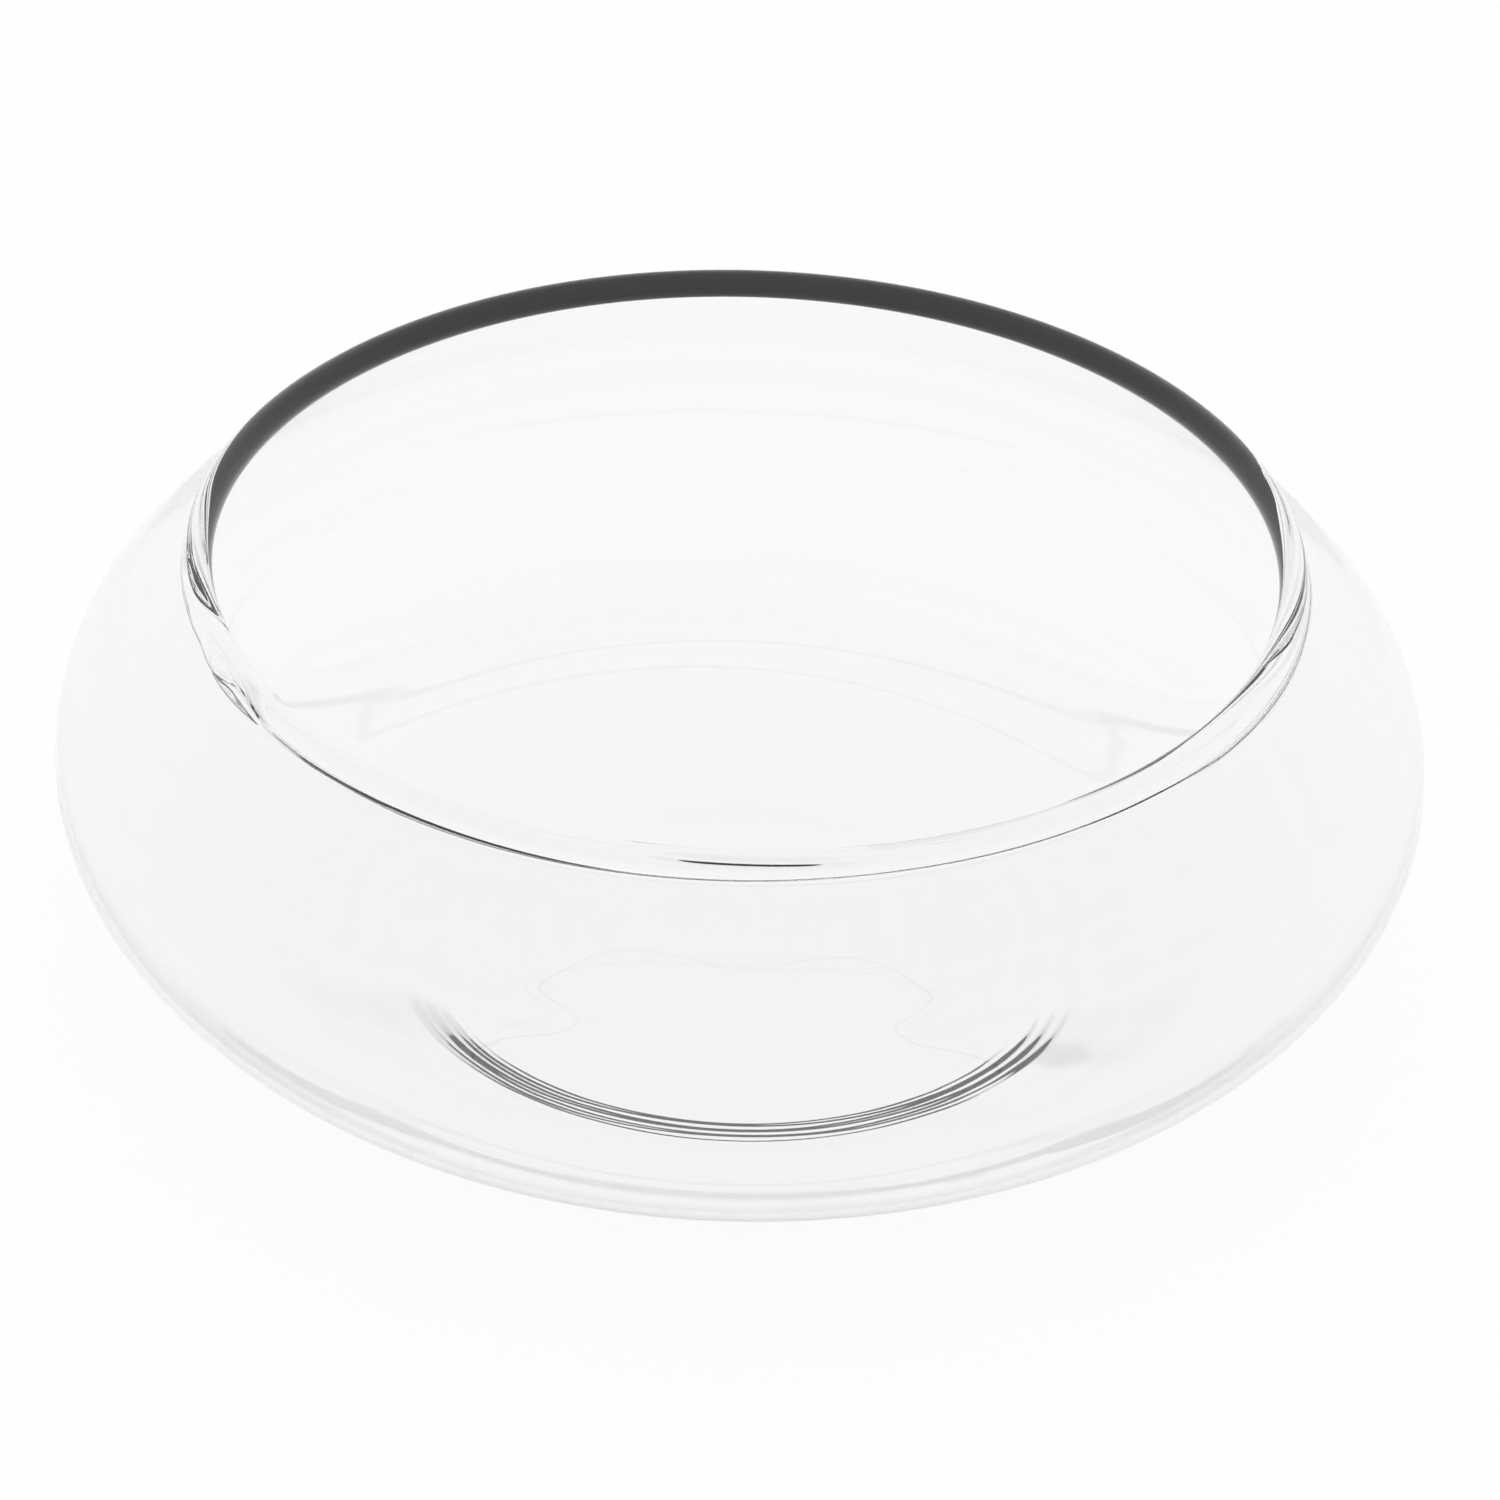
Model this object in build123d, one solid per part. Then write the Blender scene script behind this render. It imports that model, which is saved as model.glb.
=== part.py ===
from build123d import *
import math
import os

# Low clear blown-glass bowl that holds water and floating candles.
# Millimetres, +Z up. The bowl stands on z = 0 and its axis is the Z axis.

# Belly, shoulder and neck of the blown body
belly_diameter = 254.0
widest_height = 46.5
belly_depth = 56.4
belly_join_diameter = 194.0
belly_wall = 1.6
neck_wall = 3.0

# Foot: the ring that rests on the table, its flank, and the flat base that runs out to the belly
rest_diameter = 107.0
rest_width = 1.6
foot_reach = 12.7
foot_rise = 1.45
base_reach = 20.7
base_rise = 2.7
base_wall = 1.8
heel_thickness = 3.1

# Push-up: the shallow dome inside the ring
push_up_height = 1.6
floor_thickness = 2.4

# Lip: a thread of hot glass laid round the mouth, its centre this far above the widest level
lip_diameter = 200.0
lip_rise = 40.5
lip_bead_diameter = 5.5
lip_fillet = 1.2

# Lap: where the thread's end runs on beside its start, swelling the bead to both sides
lap_angle = 207.0
lap_sweep = 34.0
lap_inner_swell = 1.3
lap_outer_swell = 0.7

# Radius of the shoulder's arc in the section, as a share of the lip's rise
shoulder_share = 0.84

# Farthest that a chord of the turned sections lies off its curve
chord_sag = 0.18
# Chords round each side of the bead's section
bead_chords = 4

# Place along the push-up, as shares of the ring's radius and of the height
push_up_shoulder_shares = (0.52, 0.74)
# Place along the lap, then the swell to the inside and to the outside there, as shares
lap_shares = ((0.0, 0.0, 0.0), (0.3, 0.6, 0.9), (0.5, 1.0, 1.0), (0.72, 0.5, 0.7), (1.0, 0.0, 0.0))

belly_radius = belly_diameter / 2
join_radius = belly_join_diameter / 2
rest_inner = (rest_diameter - rest_width) / 2
rest_outer = (rest_diameter + rest_width) / 2
bead_radius = lip_bead_diameter / 2
bead_centre = Vector(lip_diameter / 2, widest_height + lip_rise)
shoulder_radius = lip_rise * shoulder_share
shoulder_centre = Vector(belly_radius - shoulder_radius, widest_height)


def ellipse_height(radius, half_width, half_height):
    """Height of the lower half of an ellipse centred on the axis at the widest level."""
    return widest_height - half_height * math.sqrt(1 - (radius / half_width) ** 2)


def ellipse_slope(radius, half_width, half_height):
    """Rise of that ellipse for each unit outwards."""
    share = radius / half_width
    return half_height / half_width * share / math.sqrt(1 - share**2)


def chorded(edges):
    """Corners of a run of edges as straight chords, each within the chord sag of its curve."""
    corners = []
    for edge in edges:
        slopes = [edge % (step / 40) for step in range(41)]
        turning = sum(math.radians(one.get_angle(two)) for one, two in zip(slopes, slopes[1:]))
        count = max(1, math.ceil(math.sqrt(edge.length * turning / (8 * chord_sag))))
        corners += [edge @ (step / count) for step in range(count)]
    return corners + [edges[-1] @ 1]


def neck_lean():
    """Lean from upright of the neck that leaves the shoulder's arc at a tangent.

    Its middle line passes through the centre of the lip's bead.
    """
    reach = bead_centre - shoulder_centre
    return math.atan2(reach.Y, reach.X) - math.acos((shoulder_radius - neck_wall / 2) / reach.length)


lean = neck_lean()
neck_up = Vector(-math.sin(lean), math.cos(lean))
neck_out = Vector(math.cos(lean), math.sin(lean))

# A fillet on each side of the neck runs into the bead, and the bead's seat is as wide as both
fillet_reach = bead_radius + lip_fillet
fillet_offset = neck_wall / 2 + lip_fillet
fillet_depth = math.sqrt(fillet_reach**2 - fillet_offset**2)
seat_depth = fillet_depth * bead_radius / fillet_reach
seat_half = fillet_offset * bead_radius / fillet_reach


def neck_point(along, outwards):
    """Point of the section, measured from the bead's centre up the neck and out of it."""
    return bead_centre + neck_up * along + neck_out * outwards


def lip_fillet_arc(side):
    """Arc from the neck's face to the corner of the bead's seat, on the outer or inner side."""
    start = neck_point(-fillet_depth, side * neck_wall / 2)
    end = neck_point(-seat_depth, side * seat_half)
    centre = neck_point(-fillet_depth, side * fillet_offset)
    middle = centre + ((start + end) / 2 - centre).normalized() * lip_fillet
    return ThreePointArc(start, middle, end)


def belly_arc(start_radius, half_width, half_height):
    """Lower quarter of the belly, from the base up to the widest level."""
    turn = math.degrees(math.acos(start_radius / half_width))
    return EllipticalCenterArc(
        (0, widest_height), half_width, half_height, start_angle=-turn, arc_size=turn
    )


def shoulder_arc(widest_radius, radius):
    """Arc from upright at the widest level to the lean of the neck."""
    centre = Vector(widest_radius - radius, widest_height)
    middle = centre + Vector(math.cos(lean / 2), math.sin(lean / 2)) * radius
    return ThreePointArc((widest_radius, widest_height), middle, centre + neck_out * radius)


def outer_outline():
    """Underside, foot, belly, shoulder and neck, from the axis to the bead's seat."""
    dome_share, rise_share = push_up_shoulder_shares
    push_up = Spline(
        (0, push_up_height),
        (rest_inner * dome_share, push_up_height * rise_share),
        (rest_inner, 0),
        tangents=[(1, 0), (1, 0)],
    )
    ring = Line((rest_inner, 0), (rest_outer, 0))
    foot = Spline(
        (rest_outer, 0),
        (rest_outer + foot_reach, foot_rise),
        (rest_outer + base_reach, base_rise),
        (join_radius, ellipse_height(join_radius, belly_radius, belly_depth)),
        tangents=[(1, 0), (1, ellipse_slope(join_radius, belly_radius, belly_depth))],
    )
    belly = belly_arc(join_radius, belly_radius, belly_depth)
    shoulder = shoulder_arc(belly_radius, shoulder_radius)
    neck = Line(shoulder @ 1, neck_point(-fillet_depth, neck_wall / 2))
    return [push_up, ring, foot, belly, shoulder, neck, lip_fillet_arc(1)]


def inner_outline():
    """Inside of the bowl, from the axis to the bead's seat."""
    # The wall is measured square to the belly where the base joins it
    slope = ellipse_slope(join_radius, belly_radius, belly_depth)
    square = Vector(-slope, 1).normalized()
    outer_join = Vector(join_radius, ellipse_height(join_radius, belly_radius, belly_depth))
    join = outer_join + square * belly_wall
    half_width = belly_radius - belly_wall
    half_height = (widest_height - join.Y) / math.sqrt(1 - (join.X / half_width) ** 2)
    floor = Spline(
        (0, push_up_height + floor_thickness),
        (rest_outer, heel_thickness),
        (rest_outer + base_reach, base_rise + base_wall),
        join,
        tangents=[(1, 0), (1, ellipse_slope(join.X, half_width, half_height))],
    )
    belly = belly_arc(join.X, half_width, half_height)
    # The shoulder thickens from the belly's wall to the neck's
    thickening = (neck_wall - belly_wall * math.cos(lean)) / (1 - math.cos(lean))
    shoulder = shoulder_arc(half_width, shoulder_radius - thickening)
    neck = Line(shoulder @ 1, neck_point(-fillet_depth, -neck_wall / 2))
    return [floor, belly, shoulder, neck, lip_fillet_arc(-1)]


def make_bowl_body():
    """The blown body: push-up, foot, belly, shoulder and neck in one wall."""
    outside = chorded(outer_outline())
    inside = chorded(inner_outline())
    section = make_face(Polyline(*outside, *reversed(inside), close=True))
    return revolve(Plane.XZ * section, Axis.Z)


def bead_section(inner_swell, outer_swell):
    """Corners of the lip's thread: a flat seat on the neck, then round over the top."""
    inner_corner = neck_point(-seat_depth, -seat_half)
    outer_corner = neck_point(-seat_depth, seat_half)
    top = neck_point(bead_radius, 0)
    corners = [inner_corner]
    for start, middle, end in (
        (outer_corner, neck_point(0, bead_radius + outer_swell), top),
        (top, neck_point(0, -bead_radius - inner_swell), inner_corner),
    ):
        side = ThreePointArc(start, middle, end)
        corners += [side @ (step / bead_chords) for step in range(bead_chords)]
    return make_face(Polyline(*corners, close=True))


def make_rim_bead():
    """The thread of glass on the lip: a plain bead, and the lap of its two ends."""
    lap_start = lap_angle - lap_sweep / 2
    lap_end = lap_angle + lap_sweep / 2
    plain = revolve(Plane.XZ * bead_section(0, 0), Axis.Z, 360 - lap_sweep)
    sections = []
    for place_share, inner_share, outer_share in lap_shares:
        section = bead_section(lap_inner_swell * inner_share, lap_outer_swell * outer_share)
        turn = Rot(Z=lap_start + lap_sweep * place_share)
        sections.append(turn * (Plane.XZ * section))
    return Rot(Z=lap_end) * plain + loft(sections, ruled=True)


os.makedirs("parts", exist_ok=True)
export_step(make_bowl_body(), "parts/bowl_body.step")
export_step(make_rim_bead(), "parts/rim_bead.step")
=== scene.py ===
import math

import bpy
import numpy as np
from mathutils import Matrix, Vector


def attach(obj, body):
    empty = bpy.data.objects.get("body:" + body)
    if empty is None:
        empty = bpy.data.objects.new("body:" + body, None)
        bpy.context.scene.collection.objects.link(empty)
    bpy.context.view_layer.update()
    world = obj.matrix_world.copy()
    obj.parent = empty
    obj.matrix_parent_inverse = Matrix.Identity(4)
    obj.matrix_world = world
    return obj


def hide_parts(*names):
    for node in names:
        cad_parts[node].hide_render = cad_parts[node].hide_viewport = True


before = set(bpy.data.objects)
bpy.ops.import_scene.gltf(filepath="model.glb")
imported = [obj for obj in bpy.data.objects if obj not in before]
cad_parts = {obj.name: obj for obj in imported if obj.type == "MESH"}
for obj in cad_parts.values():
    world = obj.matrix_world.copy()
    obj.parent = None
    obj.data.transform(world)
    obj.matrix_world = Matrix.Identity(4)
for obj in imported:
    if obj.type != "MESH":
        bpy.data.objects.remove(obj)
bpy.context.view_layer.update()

# Low clear blown-glass bowl, made as one closed mesh: a section of the glass that changes a little
# round the mouth. The section's lengths are in millimetres, out from the axis and up from the
# table. Azimuths are in degrees round from +X, so the front is at 270.
MM = 0.001

# Belly, shoulder and neck
BELLY_RADIUS = 126.96
WIDEST_HEIGHT = 46.5
BELLY_DEPTH = 56.4
JOIN_RADIUS = 97.0
SHOULDER_RADIUS = 34.0
BELLY_WALL = 1.6
NECK_WALL = 3.0

# Lip bead and the fillets under it. The inner fillet is tighter along the right side, and changes
# where the span gives: start, full, leave, end
BEAD_CENTRE = np.array([100.0, 86.85])
BEAD_RADIUS = 2.75
OUTER_FILLET = 1.2
INNER_FILLET = 3.0
TIGHT_FILLET = 0.35
TIGHT_SPAN = (-54.0, -40.0, 10.0, 24.0)

# Underside, as (radius, height) points: push-up, the ring that rests on the table, base
PUSH_UP = [(0, 1.6), (24, 1.5), (33, 1.0), (45, 0.3), (53, 0.0)]
BASE = [(54, 0.0), (57, 0.07), (60, 0.22), (67, 0.62), (71, 1.1), (75, 1.8), (80, 3.0), (85, 4.55)]

# Floor inside the bowl, as (radius, height) points
FLOOR = [(0, 4.0), (24, 3.9), (33, 3.3), (45, 3.05), (60, 3.1), (63, 3.2), (66.7, 3.45), (71, 3.9),
         (75, 4.5), (80, 5.4), (85, 6.6)]

# Points along each run of the section. The base is finer across the tool marks
PUSH_UP_POINTS = 40
BASE_FINE_POINTS, BASE_FINE_END = 135, 67.5
BASE_COARSE_POINTS, BASE_COARSE_START = 44, 67.9
FLOOR_POINTS = 90
BELLY_POINTS = 46
SHOULDER_POINTS = 24
OUTER_NECK_POINTS, INNER_NECK_POINTS = 30, 12
OUTER_FILLET_POINTS, INNER_FILLET_POINTS = 24, 12
OUTER_LIP_POINTS, INNER_LIP_POINTS = 110, 90

# Tool marks on the front of the foot, each a small step in its height:
# (radius, width, slope, wander, turns of the wander)
TOOL_MARKS = [
    (57.3, 1.2, 0.24, 0.25, 2),
    (58.6, 1.2, 0.34, 0.45, 3),
    (59.9, 1.2, 0.35, 0.40, 2),
    (61.2, 1.2, 0.35, 0.45, 3),
    (62.5, 1.2, 0.34, 0.40, 2),
    (63.8, 1.2, 0.32, 0.45, 3),
    (65.1, 1.2, 0.25, 0.35, 2),
]
# Away from the front the marks draw in, spread, and fade out between two angles
MARKS_DRAW_IN = 4.0
MARKS_SPREAD = 0.9
MARKS_END = (46.0, 88.0)
# Unevenness of hand work: phase of the wander, then share, turns and phase of a finer wander, and
# of the change in slope
WANDER_PHASE = 2.3
FINE_WANDER = (0.3, 7, 51.0)
SLOPE_CHANGE = (0.12, 5, 9)
# Radii between which the height that the marks add goes away again
MARKS_SETTLE = (68.0, 97.0)

# The foot was pressed a little off the bowl's axis. The shift ends between two radii, and both it
# and the marks are only in the glass below a height
FOOT_OFFSET = (1.29, -0.73)
FOOT_EDGE = (72.0, 92.0)
FOOT_HEIGHT = 20.0

# Lap of the lip's thread: how far the bead swells inwards, the span (start, full, leave, end), and
# how sharply the swell meets the bead
SWELL = 1.0
SWELL_SPAN = (192.0, 205.0, 207.0, 215.0)
SWELL_SHARPNESS = 5.0

# The lip is thicker from the lap round to the front, as (azimuth, growth of its radius). It grows
# downwards and out, away from the angle at which both circles touch
GROWTH = [(200, 0.0), (204, 0.35), (207, 0.55), (211, 0.55), (216, 0.45), (222, 0.4), (229, 0.47),
          (236, 0.58), (246, 0.55), (252, 0.5), (258, 0.42), (264, 0.33), (270, 0.25), (277, 0.13),
          (286, 0.0)]
GROWTH_TOP = 105.0

# Rolls of glass inside the neck, under the bead, on the right and on the left: radius, distance out
# and distance up, then how far it has come out of the wall round the mouth, as (azimuth, share).
# The last number says how sharply they meet the wall
ROLLS = [
    (1.2, -2.2, -2.9,
     [(-55, 0.0), (-35, 0.7), (0, 1.0), (20, 0.8), (35, 0.3), (50, 0.0)]),
    (0.8, -2.3, -2.95,
     [(130, 0.0), (145, 0.3), (160, 0.8), (180, 0.9), (195, 0.6), (210, 0.2), (225, 0.0)]),
]
ROLL_SHARPNESS = 8.0

# Cords and seams on the bead: half width in degrees of the bead's angle, then points along it, as
# (azimuth, angle up from outwards, height). A height below 0 is a groove
FRONT_CORD = (5.0, [(259, 170, 0.0), (266, 170, -0.3), (277, 170, -0.3), (284, 170, 0.0)])
LAP_SEAM = (6.0, [(203, -70, 0.0), (204.5, -55, -0.15), (207, -36, -0.2), (209, -24, -0.3),
                  (210, -20, -0.7), (212, -27, -0.9), (214, -38, -0.7), (216, -54, -0.3),
                  (219, -62, -0.2), (224, -68, -0.12), (229, -72, 0.0)])
RIGHT_CORD = (20.0, [(304, 199, 0.0), (312, 206, 0.2), (318, 212, 0.3), (328, 224, 0.4),
                     (336, 233, 0.4), (344, 244, 0.3), (352, 254, 0.0)])
CORDS = [FRONT_CORD, LAP_SEAM, RIGHT_CORD]

# Farthest from the bead's centre that the section still belongs to the lip
LIP_REACH = 9.0

# Degrees between two sections round the bowl, which are finer at the lap
COARSE_STEP = 1.0
FINE_STEP = 0.2
FINE_SPAN = (192.0, 234.0)
# Two points of the section that are closer than this are one
SAME_POINT = 1e-6

# Glass
REFRACTIVE_INDEX = 1.5
COAT = 0.4
# Fine streaks that run round the bowl: how fast they change across it, their detail, how far they
# drift on the way round and how deep their waves are, both in metres, and their darker and clearer
# tints, as (strength of the noise, shade)
STREAK_SCALE = 300.0
STREAK_DETAIL = 1.5
STREAK_ROUGHNESS = 0.4
STREAK_DRIFT = 0.008
STREAK_DEPTH = 0.000004
STREAK_TINTS = [(0.3, 0.955), (0.7, 0.965)]

# The photograph's view, worked out from the outlines of rim and belly, in metres, degrees and
# pixels of its image: half the belly's width, a share that fits the outline to it, and where the
# axis passes the widest level
CAMERA_DISTANCE = 1.2
CAMERA_ELEVATION = 33.558
CAMERA_TILT = 1.767
CAMERA_CLIP = (0.01, 50)
SENSOR_WIDTH = 36
IMAGE_WIDTH = 1500
HALF_WIDTH = 0.127
HALF_WIDTH_PIXELS = 683.8
OUTLINE_SHARE = 0.998
MIDDLE_PIXELS = (740.7, 738.46)

# White floor: half its side and its level in metres, its colour, and the share of plain white that
# it shows where it is looked at
STAGE_HALF = 6.0
STAGE_LEVEL = -0.0002
STAGE_COLOUR = 0.97
STAGE_PLAIN_SHARE = 0.93


def ramp(x, start, end):
    """Smooth rise from 0 at the start to 1 at the end."""
    share = np.clip((x - start) / (end - start), 0, 1)
    return share * share * (3 - 2 * share)


def rise_and_fall(x, start, full, leave, end):
    return ramp(x, start, full) * (1 - ramp(x, leave, end))


def smooth_max(a, b, sharpness):
    """The larger of two lengths, with the corner between them rounded."""
    top = np.maximum(a, b)
    return top + np.log1p(np.exp(-sharpness * np.abs(a - b))) / sharpness


def spline(points, start_slope, end_slope):
    """Cubic spline through points of rising radius, with its slope given at both ends."""
    x, y = np.array(points, float).T
    gap = np.diff(x)
    rise = np.diff(y) / gap
    count = len(x)
    matrix = np.zeros((count, count))
    known = np.zeros(count)
    matrix[0, 0] = matrix[-1, -1] = 1
    known[0], known[-1] = start_slope, end_slope
    for i in range(1, count - 1):
        matrix[i, i - 1:i + 2] = gap[i], 2 * (gap[i - 1] + gap[i]), gap[i - 1]
        known[i] = 3 * (gap[i] * rise[i - 1] + gap[i - 1] * rise[i])
    slope = np.linalg.solve(matrix, known)

    def at(r):
        i = np.clip(np.searchsorted(x, r) - 1, 0, count - 2)
        t = (r - x[i]) / gap[i]
        return ((1 + 2 * t) * (1 - t) ** 2 * y[i] + t * (1 - t) ** 2 * gap[i] * slope[i]
                + t * t * (3 - 2 * t) * y[i + 1] - t * t * (1 - t) * gap[i] * slope[i + 1])

    return at


def heading(vector):
    """Angle of a vector of the section, in radians."""
    return math.atan2(vector[1], vector[0])


def ellipse_height(radius, half_width, half_height):
    """Height of the lower half of an ellipse centred on the axis at the widest level."""
    return WIDEST_HEIGHT - half_height * np.sqrt(1 - (radius / half_width) ** 2)


def ellipse_slope(radius, half_width, half_height):
    """Rise of that ellipse for each unit outwards."""
    share = radius / half_width
    return half_height / half_width * share / math.sqrt(1 - share * share)


def neck_lean():
    """Lean from upright of the neck, in radians, as it leaves the shoulder's arc at a tangent."""
    reach = BEAD_CENTRE - (BELLY_RADIUS - SHOULDER_RADIUS, WIDEST_HEIGHT)
    return heading(reach) - math.acos((SHOULDER_RADIUS - NECK_WALL / 2) / np.hypot(*reach))


LEAN = neck_lean()
UP = np.array([-math.sin(LEAN), math.cos(LEAN)])
OUT = np.array([math.cos(LEAN), math.sin(LEAN)])


def arc(centre, radius, start, turn, count):
    """Points of an arc after its first, from a start angle through a turn."""
    angles = start + turn * np.linspace(0, 1, count + 1)[1:]
    return np.stack([centre[0] + radius * np.cos(angles), centre[1] + radius * np.sin(angles)], 1)


def belly(start_radius, half_width, half_height):
    """Lower quarter of the belly, up to its widest level, after the first point."""
    angles = np.linspace(math.acos(start_radius / half_width), 0, BELLY_POINTS + 1)[1:]
    return np.stack([half_width * np.cos(angles), WIDEST_HEIGHT - half_height * np.sin(angles)], 1)


def straight(start, end, count):
    """Points of a straight run after its first, closer together towards its end."""
    return start + (end - start) * (1 - (1 - np.linspace(0, 1, count + 1)[1:, None]) ** 2)


def fillet(centre, radius, side, size, count):
    """Fillet from the neck's face, on the outer side (1) or inner side (-1), up to a circle.

    Gives its foot on the neck, its points after that, and where it meets the circle.
    """
    aside = (centre - BEAD_CENTRE) @ OUT
    reach = radius + size
    offset = side * (NECK_WALL / 2 + size) - aside
    middle = centre - UP * math.sqrt(reach ** 2 - offset ** 2) + OUT * offset
    touch = centre + (middle - centre) / reach * radius
    start = heading(-OUT * side)
    turn = (heading(touch - middle) - start + math.pi) % (2 * math.pi) - math.pi
    return middle - OUT * side * size, arc(middle, size, start, turn, count), touch


def outer_side(neck_end):
    """Runs of the section from the axis along the underside and up the outside of the neck."""
    radii = np.linspace(0, PUSH_UP[-1][0], PUSH_UP_POINTS)
    push_up = np.stack([radii, np.maximum(spline(PUSH_UP, 0, 0)(radii), 0)], 1)
    join = (JOIN_RADIUS, ellipse_height(JOIN_RADIUS, BELLY_RADIUS, BELLY_DEPTH))
    slope = ellipse_slope(JOIN_RADIUS, BELLY_RADIUS, BELLY_DEPTH)
    radii = np.r_[np.linspace(BASE[0][0], BASE_FINE_END, BASE_FINE_POINTS),
                  np.linspace(BASE_COARSE_START, JOIN_RADIUS, BASE_COARSE_POINTS)]
    base = np.stack([radii, spline(BASE + [join], 0, slope)(radii)], 1)
    lower = belly(JOIN_RADIUS, BELLY_RADIUS, BELLY_DEPTH)
    shoulder_centre = (BELLY_RADIUS - SHOULDER_RADIUS, WIDEST_HEIGHT)
    shoulder = arc(shoulder_centre, SHOULDER_RADIUS, 0, LEAN, SHOULDER_POINTS)
    return [push_up, base, lower, shoulder, straight(shoulder[-1], neck_end, OUTER_NECK_POINTS)]


def inner_side(neck_end):
    """Runs of the section from the axis along the inside and up the inside of the neck."""
    # The wall is measured square to the belly where the base joins it
    slope = ellipse_slope(JOIN_RADIUS, BELLY_RADIUS, BELLY_DEPTH)
    square = np.array([-slope, 1]) / math.hypot(slope, 1)
    outer_join = (JOIN_RADIUS, ellipse_height(JOIN_RADIUS, BELLY_RADIUS, BELLY_DEPTH))
    join = np.array(outer_join) + square * BELLY_WALL
    half_width = BELLY_RADIUS - BELLY_WALL
    half_height = (WIDEST_HEIGHT - join[1]) / math.sqrt(1 - (join[0] / half_width) ** 2)
    radii = np.linspace(0, join[0], FLOOR_POINTS)
    join_slope = ellipse_slope(join[0], half_width, half_height)
    floor = np.stack([radii, spline(FLOOR + [tuple(join)], 0, join_slope)(radii)], 1)
    lower = belly(join[0], half_width, half_height)
    # The shoulder thickens from the belly's wall to the neck's
    thickening = (NECK_WALL - BELLY_WALL * math.cos(LEAN)) / (1 - math.cos(LEAN))
    radius = SHOULDER_RADIUS - thickening
    shoulder = arc((half_width - radius, WIDEST_HEIGHT), radius, 0, LEAN, SHOULDER_POINTS)
    return [floor, lower, shoulder, straight(shoulder[-1], neck_end, INNER_NECK_POINTS)]


def section(inner_size, growth):
    """Closed section of the glass: under, out and up to the lip, over it, and down inside."""
    top = LEAN + math.radians(GROWTH_TOP)
    centre = BEAD_CENTRE - growth * np.array([math.cos(top), math.sin(top)])
    radius = BEAD_RADIUS + growth
    outer_foot, outer_fillet, outer_touch = fillet(
        centre, radius, 1, OUTER_FILLET, OUTER_FILLET_POINTS)
    inner_foot, inner_fillet, inner_touch = fillet(
        BEAD_CENTRE, BEAD_RADIUS, -1, inner_size, INNER_FILLET_POINTS)
    start = heading(outer_touch - centre)
    outer_lip = arc(centre, radius, start, (top - start) % (2 * math.pi), OUTER_LIP_POINTS)
    turn = (heading(inner_touch - BEAD_CENTRE) - top) % (2 * math.pi)
    inner_lip = arc(BEAD_CENTRE, BEAD_RADIUS, top, turn, INNER_LIP_POINTS)
    inside = np.vstack(inner_side(inner_foot) + [inner_fillet[:-1]])
    return np.vstack(outer_side(outer_foot) + [outer_fillet, outer_lip, inner_lip, inside[::-1]])


def circle_reach(offset_out, offset_up, radius, across, along):
    """Distance from the bead's centre to a circle's far edge along the directions given."""
    lead = offset_out * across + offset_up * along
    half_chord_squared = radius ** 2 - offset_out ** 2 - offset_up ** 2 + lead ** 2
    return lead + np.sqrt(np.maximum(half_chord_squared, 0.0))


def interpolate(degrees, places, values):
    """Values at azimuths, from values at places that rise but may pass 360 or start below 0."""
    around = (degrees - places[0]) % 360 + places[0]
    return np.interp(around, places, values)


def shape_lip(radius, height, degrees):
    """Add the swell at the lap, the rolls inside the neck, and the cords and seams on the bead."""
    arm = np.stack([radius - BEAD_CENTRE[0], height - BEAD_CENTRE[1]])
    length = np.hypot(*arm)
    across = (arm[0] * OUT[0] + arm[1] * OUT[1]) / length
    along = (arm[0] * UP[0] + arm[1] * UP[1]) / length

    swell = SWELL * rise_and_fall(degrees, *SWELL_SPAN)
    reach = circle_reach(-swell, 0.0, BEAD_RADIUS, across, along)
    # Where the two circles lie on each other, the rounding would lift the bead, so it is taken off
    lift = (math.log(2) / SWELL_SHARPNESS
            * np.exp(-SWELL_SHARPNESS * np.abs(length - BEAD_RADIUS)))
    longer = smooth_max(length, reach, SWELL_SHARPNESS) - lift
    longer = np.where(swell > 0, np.maximum(longer, length), length)

    for size, roll_out, roll_up, roll in ROLLS:
        places, shares = np.array(roll, float).T
        share = interpolate(degrees, places, ramp(shares, 0, 1))
        reach = circle_reach(roll_out * share, roll_up * share, size, across, along)
        longer = np.where(share > 0, smooth_max(longer, reach, ROLL_SHARPNESS), longer)

    angle = np.degrees(np.arctan2(along, across))
    for half_width, cord in CORDS:
        places, angles, heights = np.array(cord, float).T
        turn = (angle - interpolate(degrees, places, angles) + 180) % 360 - 180
        bump = interpolate(degrees, places, heights)
        longer = longer + bump * np.exp(-(turn / half_width) ** 2)

    scale = np.where(length < LIP_REACH, longer / length, 1.0)
    return BEAD_CENTRE[0] + arm[0] * scale, BEAD_CENTRE[1] + arm[1] * scale


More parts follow.
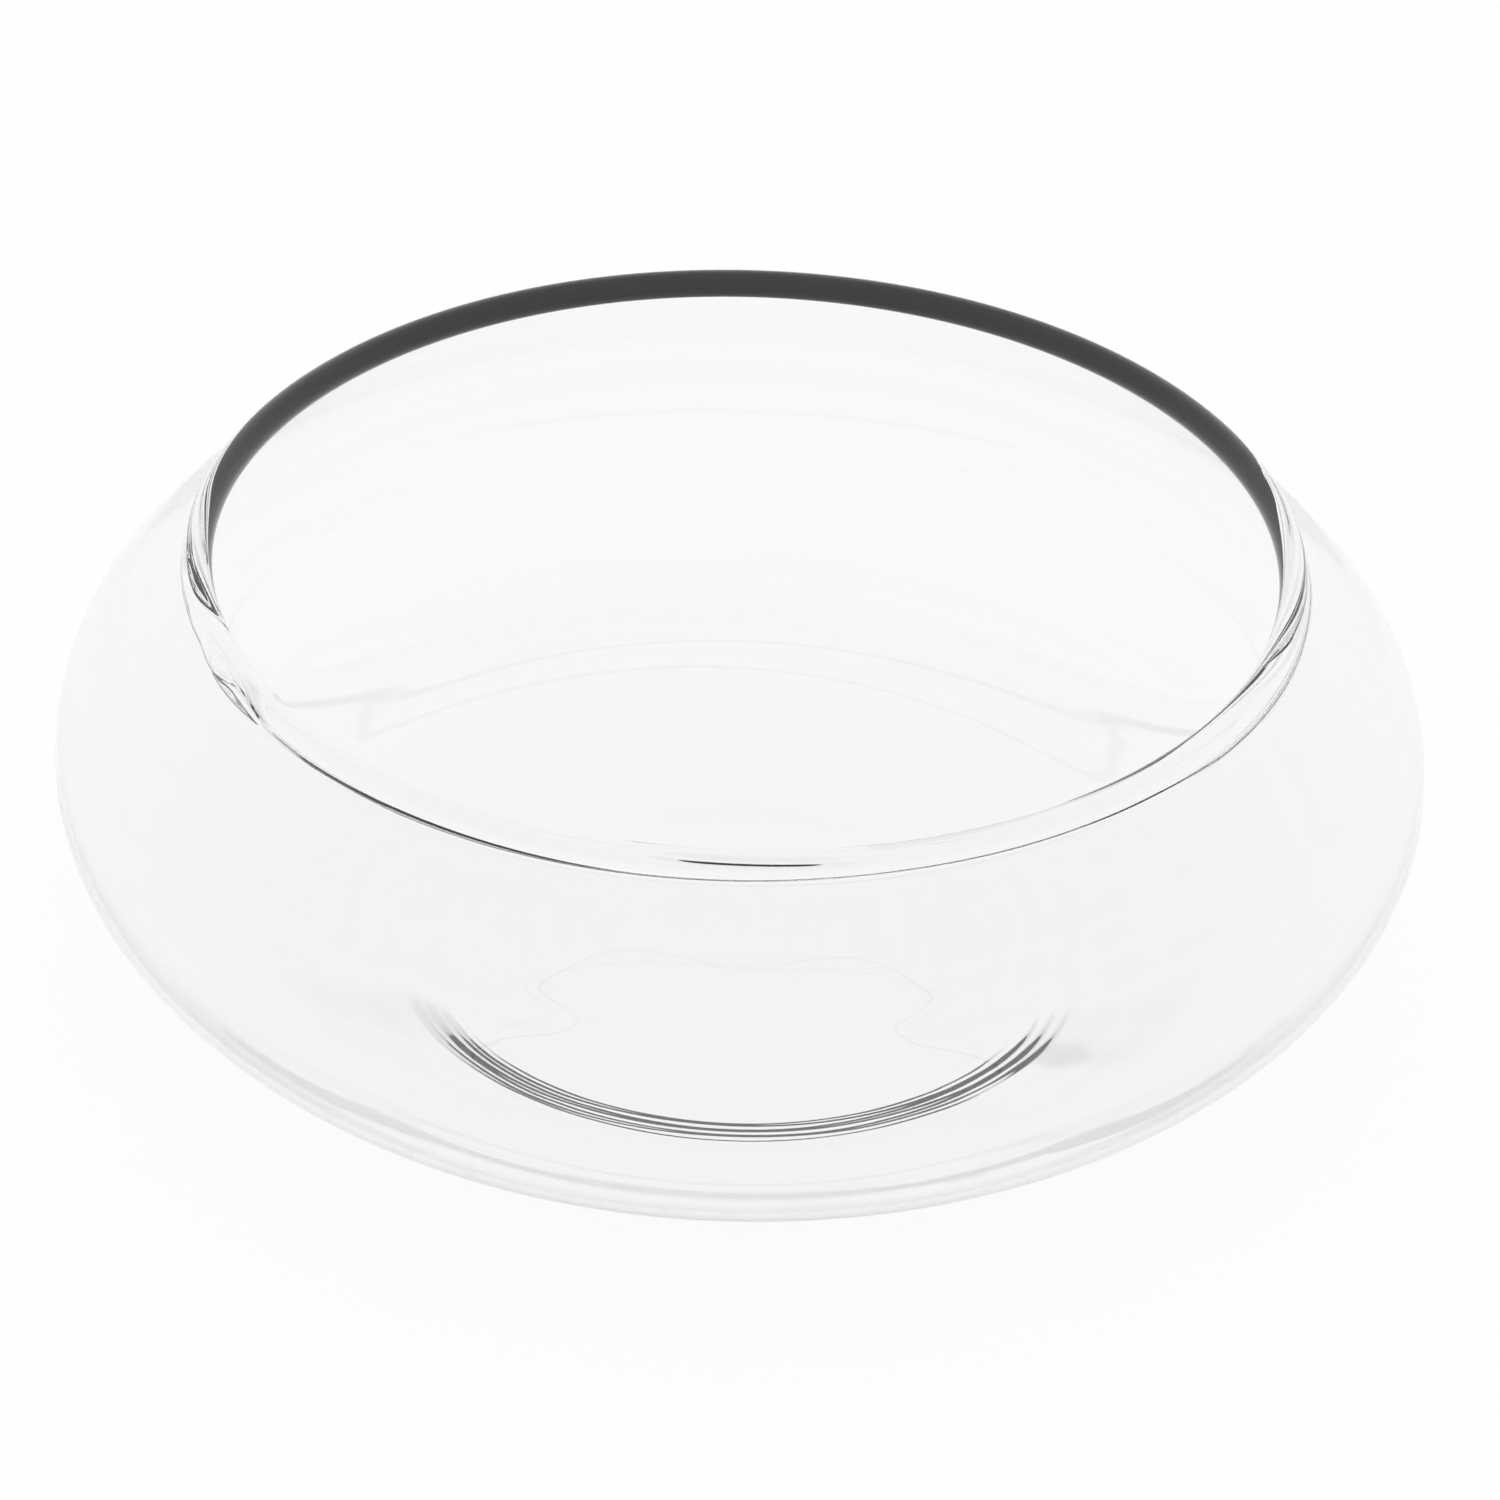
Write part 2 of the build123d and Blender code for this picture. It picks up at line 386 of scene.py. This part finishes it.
def tool_mark(radius, azimuths, place, width, slope, wander, turns):
    """Height that a step adds: its slope rises to the given one and falls back over the width."""
    off_front = (azimuths + math.pi / 2 + math.pi) % (2 * math.pi) - math.pi
    draw_in = MARKS_DRAW_IN * (1 - np.cos(off_front))
    place = place + wander * np.sin(turns * azimuths + WANDER_PHASE * place) - draw_in
    share, fine_turns, phase = FINE_WANDER
    place = place + share * wander * np.sin(fine_turns * azimuths + phase * slope)
    width = width * (1 + MARKS_SPREAD * np.sin(off_front) ** 2)
    share, slope_turns, phase = SLOPE_CHANGE
    slope = slope * (1 + share * np.sin(slope_turns * azimuths + phase * width))
    slope = slope * (1 - ramp(np.abs(off_front), *np.radians(MARKS_END)))
    t = np.clip((radius - place) / width + 0.5, 0, 1)
    return slope * width / 2 * (t - np.sin(2 * math.pi * t) / (2 * math.pi))


def add_tool_marks(radius, height, azimuths):
    """Heights of the rings with the tool marks on the underside's rings, which come first."""
    marks = sum(tool_mark(radius, azimuths, *mark) for mark in TOOL_MARKS)
    beyond = np.full_like(azimuths, BELLY_RADIUS)
    total = sum(tool_mark(beyond, azimuths, *mark) for mark in TOOL_MARKS)
    settle = total * ramp(radius, *MARKS_SETTLE)
    outside = (np.arange(len(radius)) < len(radius) // 2)[:, None] & (height < FOOT_HEIGHT)
    return height + np.where(outside, marks - settle, 0)


def make_rings():
    """The section at each azimuth, as radii and heights, with the two heights on the axis."""
    start, end = FINE_SPAN
    degrees = np.r_[np.arange(end - 360, start, COARSE_STEP), np.arange(start, end, FINE_STEP)]
    tight = rise_and_fall((degrees + 180) % 360 - 180, *TIGHT_SPAN)
    inner_sizes = np.exp(math.log(INNER_FILLET) * (1 - tight) + math.log(TIGHT_FILLET) * tight)
    growths = np.interp(degrees % 360, *np.array(GROWTH, float).T)
    rings = np.stack([section(*pair) for pair in zip(inner_sizes, growths)], 1)
    step = np.hypot(*(rings[1:, 0] - rings[:-1, 0]).T)
    rings = rings[np.r_[True, step > SAME_POINT]]
    azimuths = np.radians(degrees)
    radius, height = rings[1:-1, :, 0], rings[1:-1, :, 1]
    height = add_tool_marks(radius, height, azimuths)
    radius, height = shape_lip(radius, height, degrees % 360)
    return azimuths, radius, height, rings[0, 0, 1], rings[-1, 0, 1]


def glass_mesh():
    """One closed mesh of the whole bowl."""
    azimuths, radius, height, bottom_height, top_height = make_rings()
    in_foot = (1 - ramp(radius, *FOOT_EDGE)) * (height < FOOT_HEIGHT)
    x = radius * np.cos(azimuths) + FOOT_OFFSET[0] * in_foot
    y = radius * np.sin(azimuths) + FOOT_OFFSET[1] * in_foot
    vertices = np.stack([x, y, height], -1).reshape(-1, 3)
    poles = [[*FOOT_OFFSET, bottom_height], [*FOOT_OFFSET, top_height]]
    vertices = np.vstack([vertices, poles]) * MM

    count = len(azimuths)
    first = np.arange(count)
    second = (first + 1) % count
    faces = []
    for row in range(len(radius) - 1):
        this, following = row * count, (row + 1) * count
        corners = [this + first, this + second, following + second, following + first]
        faces += np.stack(corners, 1).tolist()
    bottom = len(radius) * count
    last = bottom - count
    faces += [(bottom, int(b), int(a)) for a, b in zip(first, second)]
    faces += [(bottom + 1, int(last + a), int(last + b)) for a, b in zip(first, second)]
    mesh = bpy.data.meshes.new("glass_bowl")
    mesh.from_pydata(vertices.tolist(), [], faces)
    mesh.polygons.foreach_set("use_smooth", [True] * len(mesh.polygons))
    mesh.update()
    return mesh


def add_node(tree, kind, operation=None, **values):
    """New shader node, with its operation where it has one, and values for its sockets."""
    node = tree.nodes.new("ShaderNode" + kind)
    if operation:
        node.operation = operation
    for name, value in values.items():
        node.inputs[name].default_value = value
    return node


def link(tree, *rows):
    """Connect sockets, each row as (node, output, node, input)."""
    for source, output, target, socket in rows:
        tree.links.new(source.outputs[output], target.inputs[socket])


def glass_material():
    """Clear blown glass, with the faint cords and waves of hand work."""
    material = bpy.data.materials.new("clear_blown_glass")
    material.use_nodes = True
    tree = material.node_tree
    shader = tree.nodes["Principled BSDF"]
    shader.inputs["Transmission Weight"].default_value = 1.0
    shader.inputs["IOR"].default_value = REFRACTIVE_INDEX
    shader.inputs["Roughness"].default_value = 0.0
    shader.inputs["Coat Weight"].default_value = COAT

    # The pattern's place is (distance from the axis, 0, height) and a slow drift round the bowl
    place = add_node(tree, "TexCoord")
    split = add_node(tree, "SeparateXYZ")
    flat = add_node(tree, "CombineXYZ")
    far = add_node(tree, "VectorMath", "LENGTH")
    around = add_node(tree, "VectorMath", "NORMALIZE")
    drift = add_node(tree, "VectorMath", "SCALE", Scale=STREAK_DRIFT)
    ring = add_node(tree, "CombineXYZ")
    drifted = add_node(tree, "VectorMath", "ADD")
    streaks = add_node(tree, "TexNoise", Scale=STREAK_SCALE, Detail=STREAK_DETAIL,
                       Roughness=STREAK_ROUGHNESS)
    bump = add_node(tree, "Bump", Strength=1.0, Distance=STREAK_DEPTH)
    tint = add_node(tree, "ValToRGB")
    for element, (position, shade) in zip(tint.color_ramp.elements, STREAK_TINTS):
        element.position = position
        element.color = (shade, shade, shade, 1)
    link(tree,
         (place, "Object", split, 0),
         (split, "X", flat, "X"),
         (split, "Y", flat, "Y"),
         (flat, 0, far, 0),
         (flat, 0, around, 0),
         (around, "Vector", drift, 0),
         (far, "Value", ring, "X"),
         (split, "Z", ring, "Z"),
         (ring, 0, drifted, 0),
         (drift, "Vector", drifted, 1),
         (drifted, "Vector", streaks, "Vector"),
         (streaks, "Fac", bump, "Height"),
         (streaks, "Fac", tint, "Fac"),
         (tint, "Color", shader, "Base Color"),
         (bump, "Normal", shader, "Normal"))
    return material


def make_camera():
    """The photograph's view of the bowl, aimed at the middle of its widest level."""
    elevation, tilt = math.radians(CAMERA_ELEVATION), math.radians(CAMERA_TILT)
    focal_pixels = OUTLINE_SHARE * CAMERA_DISTANCE / HALF_WIDTH * HALF_WIDTH_PIXELS
    back = Vector((0, -math.cos(elevation), math.sin(elevation)))
    level = Vector((1, 0, 0))
    upright = Vector((0, math.sin(elevation), math.cos(elevation)))
    camera_x = level * math.cos(tilt) + upright * math.sin(tilt)
    camera_y = upright * math.cos(tilt) - level * math.sin(tilt)
    data = bpy.data.cameras.new("view")
    data.sensor_width = SENSOR_WIDTH
    data.lens = focal_pixels * data.sensor_width / IMAGE_WIDTH
    data.shift_x = (IMAGE_WIDTH / 2 - MIDDLE_PIXELS[0]) / IMAGE_WIDTH
    data.shift_y = -(IMAGE_WIDTH / 2 - MIDDLE_PIXELS[1]) / IMAGE_WIDTH
    data.clip_start, data.clip_end = CAMERA_CLIP
    camera = bpy.data.objects.new("view", data)
    place = Matrix((camera_x, camera_y, back)).transposed().to_4x4()
    place.translation = Vector((0, 0, WIDEST_HEIGHT * MM)) + back * CAMERA_DISTANCE
    camera.matrix_world = place
    bpy.context.scene.collection.objects.link(camera)
    bpy.context.scene.camera = camera


def floor_material():
    """White that shows plain where it is looked at, also through the glass, and takes a shadow."""
    material = bpy.data.materials.new("white_floor")
    material.use_nodes = True
    tree = material.node_tree
    tree.nodes.clear()
    output = add_node(tree, "OutputMaterial")
    matt = add_node(tree, "BsdfDiffuse", Color=(STAGE_COLOUR, STAGE_COLOUR, STAGE_COLOUR, 1))
    plain = add_node(tree, "Emission", Color=(1, 1, 1, 1))
    rays = add_node(tree, "LightPath")
    camera_or_glossy = add_node(tree, "Math", "ADD")
    seen = add_node(tree, "Math", "ADD")
    seen.use_clamp = True
    share = add_node(tree, "Math", "MULTIPLY")
    share.inputs[1].default_value = STAGE_PLAIN_SHARE
    mix = add_node(tree, "MixShader")
    link(tree,
         (rays, "Is Camera Ray", camera_or_glossy, 0),
         (rays, "Is Glossy Ray", camera_or_glossy, 1),
         (camera_or_glossy, 0, seen, 0),
         (rays, "Is Transmission Ray", seen, 1),
         (seen, 0, share, 0),
         (share, 0, mix, 0),
         (matt, 0, mix, 1),
         (plain, 0, mix, 2),
         (mix, 0, output, 0))
    return material


def make_floor():
    """Wide level floor just under the bowl."""
    mesh = bpy.data.meshes.new("floor")
    corners = [(x * STAGE_HALF, y * STAGE_HALF, STAGE_LEVEL)
               for x, y in ((-1, -1), (1, -1), (1, 1), (-1, 1))]
    mesh.from_pydata(corners, [], [(0, 1, 2, 3)])
    mesh.materials.append(floor_material())
    floor = bpy.data.objects.new("floor", mesh)
    bpy.context.scene.collection.objects.link(floor)


def make_world():
    """Even white light from all around."""
    world = bpy.data.worlds.new("studio")
    bpy.context.scene.world = world
    world.use_nodes = True
    background = world.node_tree.nodes["Background"]
    background.inputs["Color"].default_value = (1, 1, 1, 1)
    background.inputs["Strength"].default_value = 1.0


make_camera()
make_floor()
make_world()

bowl = bpy.data.objects.new("glass_bowl", glass_mesh())
bowl.data.materials.append(glass_material())
bpy.context.scene.collection.objects.link(bowl)
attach(bowl, "root")
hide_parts("bowl_body", "rim_bead")

bpy.context.scene.view_settings.view_transform = "Standard"
